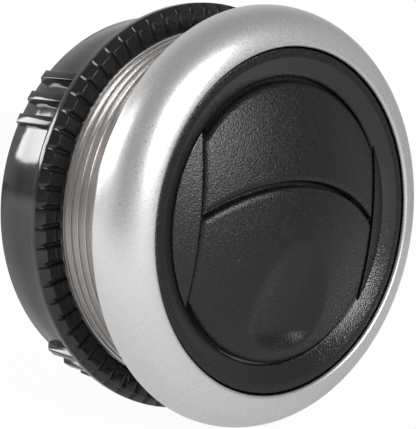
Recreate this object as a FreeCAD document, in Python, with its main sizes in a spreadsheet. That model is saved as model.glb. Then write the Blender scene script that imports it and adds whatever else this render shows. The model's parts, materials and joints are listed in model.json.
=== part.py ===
import FreeCAD, Part
import math
import os

import Sketcher
from FreeCAD import Placement, Rotation, Vector

# Round panel air vent: a fat bezel ring on a threaded neck, a rotor that turns in it,
# two domed flaps that tilt together, and a serrated lock nut behind the panel.
# Frame: the axis is Y, the face looks towards -Y, +Z is up, and y = 0 is the plane where
# the bezel seats on the panel. Lengths in millimetres, angles in degrees.

SIZES = {
    # Bezel: the fat ring, its mouth, the cored back and the neck
    "rim_centre_radius": 37.0,
    "rim_centre_depth": 6.0,
    "rim_section_radius": 9.0,
    "mouth_radius": 37.4,
    "mouth_round": 0.7,
    "neck_radius": 40.2,
    "neck_wall": 2.2,
    "neck_length": 30.0,
    "neck_end_chamfer": 0.8,
    "core_width": 2.0,
    "core_depth": 9.0,
    "core_rib_count": 8,
    "core_rib_width": 1.6,
    "race_radius": 35.9,
    "race_front": 11.0,
    "race_thickness": 1.6,
    "pocket_step": 0.7,
    # Lock nut: serrated flange, conical shoulder, skirt and grip ribs
    "nut_front": 12.0,
    "nut_clearance": 0.1,
    "nut_flange_radius": 46.2,
    "nut_flange_thickness": 3.2,
    "nut_tooth_outer_radius": 44.6,
    "nut_tooth_fall": 1.6,
    "nut_tooth_count": 69,
    "nut_tooth_depth": 1.25,
    "nut_notch_top": 2.3,
    "nut_notch_root": 1.1,
    "nut_shoulder_radius": 45.0,
    "nut_shoulder_length": 3.6,
    "nut_skirt_radius": 42.7,
    "nut_length": 19.5,
    "nut_mouth_chamfer": 0.6,
    "grip_rib_width": 2.2,
    "grip_rib_proud": 1.6,
    "grip_rib_spacing": 8.0,
    "grip_rib_bevel": 1.4,
    "grip_group_count": 4,
    "grip_group_angle": 61.0,
    # Rotor: the black ring with its dish, two cheeks, barrel and side walls
    "rotor_gap": 0.25,
    "band_front": 14.1,
    "band_round": 0.5,
    "dish_outer_radius": 34.8,
    "dish_inner_radius": 31.1,
    "dish_fall": 0.95,
    "lip_thickness": 1.6,
    "flange_thickness": 2.2,
    "barrel_clearance": 0.06,
    "barrel_wall": 2.2,
    "barrel_rear": 1.0,
    "groove_depth": 0.9,
    "dome_radius": 82.0,
    "dome_wall": 2.2,
    "seam_half_width": 26.0,
    "seam_gap": 0.4,
    "side_wall": 1.8,
    "side_wall_rear": 3.0,
    "side_wall_half_height": 20.4,
    # Stop ledge in the rotor, behind the upper flap's top edge
    "ledge_overlap": 0.9,
    "ledge_thickness": 1.2,
    "ledge_half_angle": 52.0,
    "stop_play": 0.3,
    # Friction ring and retaining ring
    "felt_width": 0.9,
    "felt_play": 0.05,
    "retainer_thickness": 1.2,
    "retainer_play": 0.1,
    "retainer_width": 2.1,
    "retainer_opening": 10.0,
    # Flaps
    "mouth_gap_top": 1.0,
    "mouth_gap_bottom": 0.5,
    "split_peak": 8.75,
    "split_radius": 44.6,
    "split_gap": 1.0,
    "pivot_depth": 11.0,
    "lower_pivot_rise": -9.0,
    "upper_pivot_rise": 13.0,
    "pin_radius": 1.0,
    "pin_play": 0.05,
    "pin_length": 4.8,
    "bush_wall": 0.8,
    "lug_wall": 0.9,
    "lug_thickness": 2.4,
    "lug_spread": 4.0,
    "block_depth": 20.0,
    # Tongue on the upper flap that closes the split from behind, off the link's side
    "tongue_tilt": 24.5,
    "tongue_thickness": 1.0,
    "tongue_overlap": 1.4,
    "tongue_root": 1.0,
    "tongue_bite": 0.5,
    "tongue_left_angle": 37.2,
    "tongue_right_angle": 25.5,
    # Thumb dimple in the lower flap
    "dimple_top": -4.5,
    "dimple_low": -23.0,
    "dimple_bottom": -27.0,
    "dimple_depth": 2.8,
    "dimple_top_arc": 34.0,
    "dimple_low_arc": 15.5,
    "dimple_back_wall": 1.8,
    # Link between the two flaps
    "crank_back": 2.5,
    "crank_drop": 10.0,
    "crank_hub_radius": 2.0,
    "crank_lug_thickness": 1.8,
    "lower_web_low": -1.0,
    "lower_web_high": 6.0,
    "upper_web_low": 2.5,
    "upper_web_high": 9.0,
    "link_offset": 20.0,
    "link_thickness": 1.6,
    "link_side_play": 0.3,
    "link_pin_radius": 0.9,
    "link_pin_head": 0.6,
    "link_pin_head_radius": 1.6,
    "link_hole_play": 0.1,
    "link_open_play": 0.25,
}

# The dimple's floor falls in this many even steps and ends just outside the dome
DIMPLE_STEPS = 4
DIMPLE_END_SHARE = -0.15

doc = FreeCAD.newDocument("RoundVent")
sheet = doc.addObject("Spreadsheet::Sheet", "Sizes")
for row, (alias, value) in enumerate(SIZES.items(), start=1):
    sheet.set(f"A{row}", alias)
    sheet.set(f"B{row}", str(value))
    sheet.setAlias(f"B{row}", alias)
doc.recompute()


class Length:
    """A number from the sheet together with the expression that binds a property to it."""

    def __init__(self, value, text):
        self.value = float(value)
        self.text = text

    def _join(self, other, sign, value):
        return Length(value, f"({self.text} {sign} {as_length(other).text})")

    def __add__(self, other):
        return self._join(other, "+", self.value + as_length(other).value)

    def __sub__(self, other):
        return self._join(other, "-", self.value - as_length(other).value)

    def __mul__(self, other):
        return self._join(other, "*", self.value * as_length(other).value)

    def __truediv__(self, other):
        return self._join(other, "/", self.value / as_length(other).value)

    def __neg__(self):
        return Length(-self.value, f"(-1 * {self.text})")


def as_length(item):
    """A Length as it is, or a plain number as a Length."""
    return item if isinstance(item, Length) else Length(item, repr(float(item)))


def sized(alias):
    """The Length that the sheet holds under an alias."""
    return Length(getattr(sheet, alias), f"Sizes.{alias}")


def root(item):
    """The square root of a Length."""
    return Length(math.sqrt(item.value), f"sqrt({item.text})")


def other_leg(hypotenuse, leg):
    """The second leg of a right triangle."""
    return root(hypotenuse * hypotenuse - leg * leg)


def sine_part(length, angle):
    """A Length times the sine of an angle in degrees."""
    value = length.value * math.sin(math.radians(angle.value))
    return Length(value, f"({length.text} * sin({angle.text} * 1 deg))")


def cosine_part(length, angle):
    """A Length times the cosine of an angle in degrees."""
    value = length.value * math.cos(math.radians(angle.value))
    return Length(value, f"({length.text} * cos({angle.text} * 1 deg))")


def plane(body, role):
    """The body's own origin plane or axis with this role."""
    return next(item for item in body.Origin.OriginFeatures if item.Role == role)


def new_body(label):
    """A body that becomes one sub-part under this label."""
    body = doc.addObject("PartDesign::Body", label.title().replace("_", ""))
    body.Label = label
    return body


def new_sketch(body, name, role="XY_Plane", shift=None, turn=None):
    """A sketch on one of the body's origin planes, moved along its normal or turned about Y."""
    sketch = body.newObject("Sketcher::SketchObject", name)
    sketch.AttachmentSupport = [(plane(body, role), "")]
    sketch.MapMode = "FlatFace"
    if shift is not None:
        sketch.setExpression("AttachmentOffset.Base.z", shift.text)
    if turn is not None:
        sketch.AttachmentOffset = Placement(Vector(), Rotation(Vector(0, 1, 0), turn.value))
        sketch.setExpression("AttachmentOffset.Rotation.Angle", turn.text)
    return sketch


def line_to(x, y):
    """A straight side that ends at this corner."""
    return ("line", as_length(x), as_length(y), None, 0)


def arc_to(x, y, radius, turn):
    """A round side that ends at this corner; turn is +1 anticlockwise, -1 clockwise."""
    return ("arc", as_length(x), as_length(y), as_length(radius), turn)


def arc_geometry(begin, end, radius, turn):
    """The shorter arc of this radius between two points, as the sketcher's own arc."""
    chord = end - begin
    middle = (begin + end) * 0.5
    rise = math.sqrt(max(radius ** 2 - (chord.Length / 2) ** 2, 0.0))
    across = Vector(-chord.y, chord.x, 0)
    across.normalize()
    centre = middle + across * (rise * turn)
    first, last = (begin, end) if turn > 0 else (end, begin)
    start_angle = math.atan2(first.y - centre.y, first.x - centre.x)
    end_angle = math.atan2(last.y - centre.y, last.x - centre.x)
    circle = Part.Circle(centre, Vector(0, 0, 1), radius)
    return Part.ArcOfCircle(circle, start_angle, end_angle)


def tie(sketch, constraint, length):
    """Add a sized constraint and bind it to the sheet."""
    index = sketch.addConstraint(constraint)
    sketch.setExpression(f"Constraints[{index}]", length.text)


def outline(sketch, start_x, start_y, *sides):
    """A closed outline; each corner's two coordinates and each radius are bound."""
    start_x, start_y = as_length(start_x), as_length(start_y)
    open_x = sides[-1][1].value - start_x.value
    open_y = sides[-1][2].value - start_y.value
    if math.hypot(open_x, open_y) > 1e-6:
        sides = sides + (line_to(start_x, start_y),)
    begin_x, begin_y = start_x, start_y
    ends = []
    for kind, end_x, end_y, radius, turn in sides:
        begin = Vector(begin_x.value, begin_y.value, 0)
        end = Vector(end_x.value, end_y.value, 0)
        if kind == "line":
            index = sketch.addGeometry(Part.LineSegment(begin, end), False)
        else:
            index = sketch.addGeometry(arc_geometry(begin, end, radius.value, turn), False)
        swapped = turn < 0
        ends.append((index, 2 if swapped else 1, 1 if swapped else 2))
        begin_x, begin_y = end_x, end_y
    here_x, here_y = start_x, start_y
    for place, (side, (index, first, _)) in enumerate(zip(sides, ends)):
        before, _, last = ends[place - 1]
        sketch.addConstraint(Sketcher.Constraint("Coincident", before, last, index, first))
        along = Sketcher.Constraint("DistanceX", -1, 1, index, first, here_x.value)
        up = Sketcher.Constraint("DistanceY", -1, 1, index, first, here_y.value)
        tie(sketch, along, here_x)
        tie(sketch, up, here_y)
        if side[0] == "arc":
            tie(sketch, Sketcher.Constraint("Radius", index, side[3].value), side[3])
        here_x, here_y = side[1], side[2]


def ring_hole(sketch, x, y, radius):
    """A full circle whose centre and radius are bound."""
    circle = Part.Circle(Vector(x.value, y.value, 0), Vector(0, 0, 1), radius.value)
    index = sketch.addGeometry(circle, False)
    tie(sketch, Sketcher.Constraint("DistanceX", -1, 1, index, 3, x.value), x)
    tie(sketch, Sketcher.Constraint("DistanceY", -1, 1, index, 3, y.value), y)
    tie(sketch, Sketcher.Constraint("Radius", index, radius.value), radius)


def feature(body, kind, name, sketch):
    """A PartDesign feature of this kind on a sketch."""
    made = body.newObject(f"PartDesign::{kind}", name)
    made.Profile = sketch
    sketch.Visibility = False
    return made


def turned(body, kind, name, sketch):
    """A full turn of the sketch about the vent's axis: Revolution adds, Groove cuts."""
    made = feature(body, kind, name, sketch)
    made.ReferenceAxis = (sketch, ["V_Axis"])
    made.Angle = 360.0
    doc.recompute()
    return made


def part_turned(body, name, sketch, right, left):
    """A Revolution about the sketch's level axis, to the right and left of its plane."""
    made = feature(body, "Revolution", name, sketch)
    made.ReferenceAxis = (sketch, ["H_Axis"])
    made.Type = "TwoAngles"
    made.setExpression("Angle", right.text)
    made.setExpression("Angle2", left.text)
    doc.recompute()
    return made


def extruded(body, kind, name, sketch, length=None, midplane=False, backwards=False):
    """A Pad or Pocket of a sketch; without a length it runs through everything."""
    made = feature(body, kind, name, sketch)
    made.SideType = "Symmetric" if midplane else "One side"
    made.Reversed = backwards
    if length is None:
        made.Type = "ThroughAll"
    else:
        made.setExpression("Length", length.text)
    doc.recompute()
    return made


def around(body, name, originals, count):
    """Copies of features all round the vent's axis."""
    pattern = body.newObject("PartDesign::PolarPattern", name)
    pattern.Originals = originals
    pattern.Axis = (plane(body, "Y_Axis"), [""])
    pattern.Angle = 360.0
    pattern.setExpression("Occurrences", count.text)
    body.Tip = pattern
    doc.recompute()
    return pattern


def removed(body, before):
    """Raise if the last cut took nothing away."""
    if not body.Shape.Volume < before - 0.001:
        raise RuntimeError(f"{body.Label}: a cut removed nothing")


# Places that several pieces share
rim_centre = sized("rim_centre_radius")
rim_depth = sized("rim_centre_depth")
rim_section = sized("rim_section_radius")
neck_outer = sized("neck_radius")
neck_bore = neck_outer - sized("neck_wall")
pocket_bore = neck_bore - sized("pocket_step")
race_front = -sized("race_front")
race_rear = race_front + sized("race_thickness")
flange_outer = sized("mouth_radius") - sized("rotor_gap")
flange_rear = sized("flange_thickness") - sized("band_front")
barrel_outer = sized("race_radius") - sized("barrel_clearance")
barrel_inner = barrel_outer - sized("barrel_wall")
groove_bottom = barrel_outer - sized("groove_depth")
groove_front = race_rear + sized("retainer_play") / 2
groove_rear = groove_front + sized("retainer_thickness") + sized("retainer_play")
lip_radius = sized("dish_inner_radius")
lip_front = sized("dish_fall") - sized("band_front")
dome = sized("dome_radius")
dome_inner = dome - sized("dome_wall")
dome_centre = lip_front + other_leg(dome, lip_radius)
wall_face = sized("seam_half_width") + sized("seam_gap") / 2
flap_half_width = sized("seam_half_width") - sized("seam_gap") / 2
pivot_y = -sized("pivot_depth")
crank_y = pivot_y + sized("crank_back")
bush_outer = sized("pin_radius") + sized("pin_play") + sized("bush_wall")
hub_radius = bush_outer + sized("lug_wall")
lug_face = flap_half_width
lower_rise = sized("lower_pivot_rise")
upper_rise = sized("upper_pivot_rise")
link_rise = upper_rise - lower_rise
link_half = sized("link_thickness") / 2
crank_face = sized("link_offset") + link_half + sized("link_side_play")
crank_outer_face = crank_face + sized("crank_lug_thickness")
top_edge = lip_radius - sized("mouth_gap_top")


def make_bezel():
    """The fat half-round ring with its mouth, cored back, race and neck, in one piece."""
    body = new_body("bezel")
    section = new_sketch(body, "BezelSection")
    mouth = sized("mouth_radius")
    bead = sized("mouth_round")
    shoulder = mouth + bead
    shoulder_y = -(rim_depth + other_leg(rim_section, shoulder - rim_centre))
    chamfer = sized("neck_end_chamfer")
    neck_end = sized("neck_length")
    core_outer = neck_outer + sized("core_width")
    core_floor = -sized("core_depth")
    outline(
        section,
        mouth, shoulder_y + bead,
        arc_to(shoulder, shoulder_y, bead, 1),
        arc_to(rim_centre + other_leg(rim_section, rim_depth), 0, rim_section, 1),
        line_to(core_outer, 0),
        line_to(core_outer, core_floor),
        line_to(neck_outer, core_floor),
        line_to(neck_outer, neck_end - chamfer),
        line_to(neck_outer - chamfer, neck_end),
        line_to(neck_bore, neck_end),
        line_to(neck_bore, 0),
        line_to(pocket_bore, 0),
        line_to(pocket_bore, race_rear),
        line_to(sized("race_radius"), race_rear),
        line_to(sized("race_radius"), race_front),
        line_to(mouth, race_front),
    )
    turned(body, "Revolution", "BezelRing", section)
    # Stiffening ribs across the cored back
    bite = sized("core_rib_width") / 4
    rib = new_sketch(body, "CoreRib")
    outline(
        rib,
        neck_outer - bite, core_floor - bite,
        line_to(core_outer + bite, core_floor - bite),
        line_to(core_outer + bite, -sized("core_width")),
        line_to(neck_outer - bite, -sized("core_width")),
    )
    web = extruded(body, "Pad", "CoreRibWeb", rib, sized("core_rib_width"), midplane=True)
    around(body, "CoreRibs", [web], sized("core_rib_count"))
    return body


def make_lock_nut():
    """The ring nut: serrated flange, conical shoulder, thin skirt and four rib groups."""
    body = new_body("lock_nut")
    front = sized("nut_front")
    bore = neck_outer + sized("nut_clearance")
    bevel = sized("nut_mouth_chamfer")
    rear = front + sized("nut_length")
    flange = sized("nut_flange_radius")
    flange_back = front + sized("nut_flange_thickness")
    skirt = sized("nut_skirt_radius")
    shoulder_back = flange_back + sized("nut_shoulder_length")
    section = new_sketch(body, "NutSection")
    outline(
        section,
        bore, front + bevel,
        line_to(bore + bevel, front),
        line_to(sized("nut_tooth_outer_radius"), front),
        line_to(flange, front + sized("nut_tooth_fall")),
        line_to(flange, flange_back),
        line_to(sized("nut_shoulder_radius"), flange_back),
        line_to(skirt, shoulder_back),
        line_to(skirt, rear),
        line_to(bore + bevel, rear),
        line_to(bore, rear - bevel),
    )
    turned(body, "Revolution", "NutRing", section)
    # One rib, drawn beside the axis and turned to its place, for each of the three
    ribs = []
    proud = skirt + sized("grip_rib_proud")
    rib_bevel = sized("grip_rib_bevel")
    for number in (-1, 0, 1):
        turn = -(sized("grip_group_angle") + sized("grip_rib_spacing") * number)
        rib = new_sketch(body, f"GripRib{number + 2}", turn=turn)
        outline(
            rib,
            skirt - bevel, flange_back,
            line_to(proud, flange_back),
            line_to(proud, rear - rib_bevel),
            line_to(proud - rib_bevel, rear),
            line_to(skirt - bevel, rear),
        )
        width = sized("grip_rib_width")
        ribs.append(extruded(body, "Pad", f"GripRibWeb{number + 2}", rib, width, midplane=True))
    around(body, "GripRibs", ribs, sized("grip_group_count"))
    # One notch of the serrated face, cut outwards along +X, then all round
    before = body.Shape.Volume
    notch = new_sketch(body, "Notch", "YZ_Plane", shift=bore - bevel)
    top = sized("nut_notch_top") / 2
    foot = sized("nut_notch_root") / 2
    depth = sized("nut_tooth_depth")
    outline(
        notch,
        front - bevel, -top,
        line_to(front, -top),
        line_to(front + depth, -foot),
        line_to(front + depth, foot),
        line_to(front, top),
        line_to(front - bevel, top),
    )
    across = flange - bore + bevel * 2
    cut = extruded(body, "Pocket", "NotchCut", notch, across, backwards=True)
    removed(body, before)
    around(body, "Serrations", [cut], sized("nut_tooth_count"))
    return body


def make_rotor():
    """The ring with band, dish, cheeks, barrel and the side walls that carry the pivots."""
    body = new_body("rotor")
    band = -sized("band_front")
    edge = sized("band_round")
    barrel_rear = -sized("barrel_rear")
    lip_rear = lip_front + sized("lip_thickness")
    section = new_sketch(body, "RotorSection")
    outline(
        section,
        0, dome_centre - dome,
        arc_to(lip_radius, lip_front, dome, 1),
        line_to(sized("dish_outer_radius"), band),
        line_to(flange_outer - edge, band),
        arc_to(flange_outer, band + edge, edge, 1),
        line_to(flange_outer, flange_rear),
        line_to(barrel_outer, flange_rear),
        line_to(barrel_outer, groove_front),
        line_to(groove_bottom, groove_front),
        line_to(groove_bottom, groove_rear),
        line_to(barrel_outer, groove_rear),
        line_to(barrel_outer, barrel_rear),
        line_to(barrel_inner, barrel_rear),
        line_to(barrel_inner, lip_rear + sized("lip_thickness")),
        line_to(lip_radius, lip_rear),
        line_to(lip_radius, dome_centre - other_leg(dome_inner, lip_radius)),
        arc_to(0, dome_centre - dome_inner, dome_inner, -1),
    )
    turned(body, "Revolution", "RotorRing", section)
    # The mouth between the two cheeks
    before = body.Shape.Volume
    mouth = new_sketch(body, "Mouth", "XZ_Plane")
    corner = other_leg(lip_radius, wall_face)
    outline(
        mouth,
        wall_face, -corner,
        line_to(wall_face, corner),
        arc_to(-wall_face, corner, lip_radius, 1),
        line_to(-wall_face, -corner),
        arc_to(wall_face, -corner, lip_radius, 1),
    )
    extruded(body, "Pocket", "MouthCut", mouth, backwards=True)
    removed(body, before)
    for side, name in ((-1, "Left"), (1, "Right")):
        make_side_wall(body, side, name)
    make_stop_ledge(body)
    return body


def make_stop_ledge(body):
    """A ledge behind the upper flap's top edge: the flap stops there, and it hides the gap."""
    front = dome_centre - other_leg(dome_inner, top_edge) + sized("stop_play")
    rear = front + sized("ledge_thickness")
    inner = top_edge - sized("ledge_overlap")
    step = lip_radius + sized("lip_thickness") / 8
    bite = lip_front + sized("lip_thickness") * 3 / 4
    outer = barrel_inner + sized("barrel_wall") / 4
    half_angle = sized("ledge_half_angle")
    ledge = new_sketch(body, "LedgeSection", "YZ_Plane")
    outline(
        ledge,
        rear, inner,
        line_to(front, inner),
        line_to(front, step),
        line_to(bite, step),
        line_to(bite, outer),
        line_to(rear, outer),
    )
    part_turned(body, "StopLedge", ledge, half_angle, half_angle)


def make_side_wall(body, side, name):
    """A flat wall behind one cheek, from the cheek back into the barrel, with pin holes."""
    outer = wall_face + sized("side_wall")
    reach = sized("side_wall_half_height")
    rear = -sized("side_wall_rear")
    inside = other_leg(dome - sized("dome_wall") / 2, outer)
    front = dome_centre - other_leg(inside, reach)
    start = wall_face if side > 0 else -outer
    wall = new_sketch(body, f"{name}Wall", "YZ_Plane", shift=start)
    outline(
        wall,
        front, -reach,
        line_to(rear, -reach),
        line_to(rear, reach),
        line_to(front, reach),
        arc_to(front, -reach, inside, 1),
    )
    extruded(body, "Pad", f"{name}WallPlate", wall, sized("side_wall"))
    before = body.Shape.Volume
    holes = new_sketch(body, f"{name}PinHoles", "YZ_Plane", shift=start)
    for rise in (lower_rise, upper_rise):
        ring_hole(holes, pivot_y, rise, sized("pin_radius"))
    extruded(body, "Pocket", f"{name}PinBores", holes, sized("side_wall"), backwards=True)
    removed(body, before)


def flap_plate(label, front_outline):
    """A body with the flap's front outline as a block, hollowed from behind to the dome."""
    body = new_body(label)
    face = new_sketch(body, "FrontOutline", "XZ_Plane", shift=sized("band_front"))
    front_outline(face)
    extruded(body, "Pad", "Block", face, sized("block_depth"), midplane=True)
    before = body.Shape.Volume
    behind = new_sketch(body, "Behind", "XY_Plane")
    wide = sized("dish_outer_radius")
    far = dome_centre - dome + sized("block_depth") * 2
    outline(
        behind,
        0, dome_centre - dome_inner,
        arc_to(wide, dome_centre - other_leg(dome_inner, wide), dome_inner, 1),
        line_to(wide, far),
        line_to(0, far),
    )
    turned(body, "Groove", "HollowBack", behind)
    removed(body, before)
    return body


def pivot_lugs(body, rise):
    """Two ears behind the plate, each round about the pivot."""
    spread = sized("lug_spread")
    root_y = dome_centre - dome
    for side, name in ((-1, "Left"), (1, "Right")):
        inner = lug_face - sized("lug_thickness")
        ear = new_sketch(body, f"{name}Ear", "YZ_Plane", shift=inner if side > 0 else -lug_face)
        outline(
            ear,
            root_y, rise - spread,
            line_to(pivot_y, rise - hub_radius),
            arc_to(pivot_y + hub_radius, rise, hub_radius, 1),
            arc_to(pivot_y, rise + hub_radius, hub_radius, 1),
            line_to(root_y, rise + spread),
        )
        extruded(body, "Pad", f"{name}EarPlate", ear, sized("lug_thickness"))


def crank_lug(body, rise, web_low, web_high):
    """The ear that carries the link pin, below and behind the pivot."""
    crank_z = rise - sized("crank_drop")
    hub = sized("crank_hub_radius")
    root_y = dome_centre - dome
    ear = new_sketch(body, "CrankEar", "YZ_Plane", shift=crank_face)
    outline(
        ear,
        root_y, crank_z + web_low,
        line_to(crank_y, crank_z - hub),
        arc_to(crank_y + hub, crank_z, hub, 1),
        arc_to(crank_y, crank_z + hub, hub, 1),
        line_to(root_y, crank_z + web_high),
    )
    extruded(body, "Pad", "CrankEarPlate", ear, sized("crank_lug_thickness"))


def dome_front(body):
    """Cut everything in front of the dome, ears included."""
    before = body.Shape.Volume
    ahead = new_sketch(body, "Ahead", "XY_Plane")
    wide = sized("dish_outer_radius")
    far = dome_centre - dome - sized("block_depth")
    outline(
        ahead,
        0, far,
        line_to(wide, far),
        line_to(wide, dome_centre - other_leg(dome, wide)),
        arc_to(0, dome_centre - dome, dome, -1),
    )
    turned(body, "Groove", "DomedFront", ahead)
    removed(body, before)


def bored(body, name, y, z, radius, start, length):
    """A round hole along X through the ears of one side or both."""
    before = body.Shape.Volume
    hole = new_sketch(body, name, "YZ_Plane", shift=start)
    ring_hole(hole, y, z, radius)
    extruded(body, "Pocket", f"{name}Bore", hole, length, backwards=True)
    removed(body, before)


def flap_holes(body, rise):
    """The bush seats in both ears and the link pin's hole in the crank ear."""
    inner = lug_face - sized("lug_thickness")
    ear = sized("lug_thickness")
    bored(body, "LeftBushSeat", pivot_y, rise, bush_outer, -lug_face, ear)
    bored(body, "RightBushSeat", pivot_y, rise, bush_outer, inner, ear)
    crank_z = rise - sized("crank_drop")
    pin = sized("link_pin_radius")
    width = sized("crank_lug_thickness")
    bored(body, "LinkPinSeat", crank_y, crank_z, pin, crank_face, width)


def lower_outline(face):
    """Seen from the front: the split arc above, the seams at the sides, the mouth below."""
    split = sized("split_radius")
    peak = sized("split_peak") - sized("split_gap") / 2
    mouth = lip_radius - sized("mouth_gap_bottom")
    shoulder = peak - split + other_leg(split, flap_half_width)
    corner = -other_leg(mouth, flap_half_width)
    outline(
        face,
        flap_half_width, corner,
        line_to(flap_half_width, shoulder),
        arc_to(-flap_half_width, shoulder, split, 1),
        line_to(-flap_half_width, corner),
        arc_to(flap_half_width, corner, mouth, 1),
    )


def upper_outline(face):
    """Seen from the front: the mouth above, the seams at the sides, the split arc below."""
    split = sized("split_radius") + sized("split_gap")
    peak = sized("split_peak") + sized("split_gap") / 2
    shoulder = peak - split + other_leg(split, flap_half_width)
    corner = other_leg(top_edge, flap_half_width)
    outline(
        face,
        flap_half_width, shoulder,
        line_to(flap_half_width, corner),
        arc_to(-flap_half_width, corner, top_edge, 1),
        line_to(-flap_half_width, shoulder),
        arc_to(flap_half_width, shoulder, split, -1),
    )


def dimple_section(body, name, height, sink, arc):
    """One level of the dimple: a flat circle segment whose floor lies this far in."""
    level = new_sketch(body, name, "XY_Plane", shift=height)
    floor = dome_centre - other_leg(dome, height) + sink
    open_y = dome_centre - dome - sized("dimple_depth")
    reach = other_leg(arc, arc - (floor - open_y))
    outline(
        level,
        -reach, open_y,
        line_to(reach, open_y),
        arc_to(-reach, open_y, arc, 1),
    )
    return level


def dimple_loft(body, kind, name, wall):
    """A loft down the dimple's levels; the wall moves each floor and arc outwards."""
    top = sized("dimple_top")
    fall = sized("dimple_low") - top
    depth = sized("dimple_depth")
    top_arc = sized("dimple_top_arc")
    tighter = sized("dimple_low_arc") - top_arc
    levels = []
    for step in range(DIMPLE_STEPS + 1):
        share = step / DIMPLE_STEPS
        levels.append((top + fall * share, depth * share, top_arc + tighter * share))
    levels.append((sized("dimple_bottom"), depth * DIMPLE_END_SHARE, sized("dimple_low_arc")))
    sketches = []
    for number, (height, sink, arc) in enumerate(levels, start=1):
        level_name = f"{name}Level{number}"
        sketches.append(dimple_section(body, level_name, height, sink + wall, arc + wall))
    loft = feature(body, kind, name, sketches[0])
    loft.Sections = sketches[1:]
    loft.Ruled = True
    doc.recompute()
    return loft


def make_lower_flap():
    """The lower flap, with the thumb dimple and the wall that follows it behind."""
    body = flap_plate("lower_flap", lower_outline)
    pivot_lugs(body, lower_rise)
    crank_lug(body, lower_rise, sized("lower_web_low"), sized("lower_web_high"))
    dimple_loft(body, "AdditiveLoft", "DimpleBack", sized("dimple_back_wall"))
    dome_front(body)
    before = body.Shape.Volume
    dimple_loft(body, "SubtractiveLoft", "Dimple", as_length(0))
    removed(body, before)
    flap_holes(body, lower_rise)
    return body


def make_upper_flap():
    """The upper flap, whose lower edge passes behind the lower flap as they open."""
    body = flap_plate("upper_flap", upper_outline)
    pivot_lugs(body, upper_rise)
    crank_lug(body, upper_rise, sized("upper_web_low"), sized("upper_web_high"))
    dome_front(body)
    flap_holes(body, upper_rise)
    make_tongue(body)
    return body


def make_tongue(body):
    """A thin curved tongue along the upper flap's lower edge, behind the lower flap's top edge.

    The split arc lies nearly in a tilted plane, so the tongue is turned about the tilted axis
    through the dome's centre that stands square to that plane.
    """
    tilt = sized("tongue_tilt")
    edge_rise = sized("split_peak") + sized("split_gap") / 2
    edge_depth = other_leg(dome_inner, edge_rise)
    step = sine_part(edge_depth, tilt) + cosine_part(edge_rise, tilt)
    tip = step - sized("split_gap") - sized("tongue_overlap")
    high = step + sized("tongue_root")
    front = dome_inner - sized("stop_play")
    back = front - sized("tongue_thickness")
    bitten = dome_inner + sized("tongue_bite")
    section = new_sketch(body, "TongueSection", "YZ_Plane")
    section.AttachmentOffset = Placement(
        Vector(dome_centre.value, 0, 0), Rotation(Vector(0, 0, 1), tilt.value)
    )
    section.setExpression("AttachmentOffset.Base.x", dome_centre.text)
    section.setExpression("AttachmentOffset.Rotation.Angle", tilt.text)
    outline(
        section,
        -other_leg(back, tip), tip,
        line_to(-other_leg(back, high), high),
        line_to(-other_leg(bitten, high), high),
        line_to(-other_leg(bitten, step), step),
        line_to(-other_leg(front, step), step),
        line_to(-other_leg(front, tip), tip),
    )
    left, right = sized("tongue_left_angle"), sized("tongue_right_angle")
    part_turned(body, "Tongue", section, right, left)


def make_ring(label, inner, outer, front, rear):
    """A plain turned ring about the vent's axis."""
    body = new_body(label)
    section = new_sketch(body, "RingSection")
    outline(
        section,
        inner, front,
        line_to(outer, front),
        line_to(outer, rear),
        line_to(inner, rear),
    )
    turned(body, "Revolution", "Ring", section)
    return body


def make_friction_ring():
    """The felt ring between the rotor's flange and the race."""
    play = sized("felt_play")
    outer = sized("mouth_radius") - play
    inner = outer - sized("felt_width")
    return make_ring("rotor_friction_ring", inner, outer, flange_rear + play, race_front - play)


def make_retainer():
    """The spring ring in the barrel's groove that holds the rotor behind the race."""
    play = sized("retainer_play")
    front = groove_front + play / 2
    inner = groove_bottom + play / 4
    outer = inner + sized("retainer_width")
    rear = front + sized("retainer_thickness")
    body = make_ring("rotor_retainer", inner, outer, front, rear)
    before = body.Shape.Volume
    slot = new_sketch(body, "Opening", "XZ_Plane")
    half = sized("retainer_opening") / 2
    outline(
        slot,
        -half, 0,
        line_to(half, 0),
        line_to(half, outer + play),
        line_to(-half, outer + play),
    )
    extruded(body, "Pocket", "OpeningCut", slot, backwards=True)
    removed(body, before)
    return body


def make_rod(label, y, z, radius, start, length):
    """A plain round pin along X from a start face."""
    body = new_body(label)
    circle = new_sketch(body, "Circle", "YZ_Plane", shift=start)
    ring_hole(circle, as_length(y), as_length(z), radius)
    extruded(body, "Pad", "Rod", circle, length)
    return body


def make_pivot_pin(label, side, rise):
    """A steel pin, driven into the side wall, that one ear's bush turns on."""
    outer = wall_face + sized("side_wall")
    length = sized("pin_length")
    start = outer - length if side > 0 else -outer
    return make_rod(label, pivot_y, rise, sized("pin_radius"), start, length)


def make_bush(label, side, rise):
    """The bush pressed into one ear."""
    width = sized("lug_thickness")
    start = lug_face - width if side > 0 else -lug_face
    body = make_rod(label, pivot_y, rise, bush_outer, start, width)
    before = body.Shape.Volume
    hole = new_sketch(body, "Hole", "YZ_Plane", shift=start)
    ring_hole(hole, pivot_y, rise, sized("pin_radius") + sized("pin_play"))
    extruded(body, "Pocket", "HoleBore", hole, width, backwards=True)
    removed(body, before)
    return body


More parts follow.
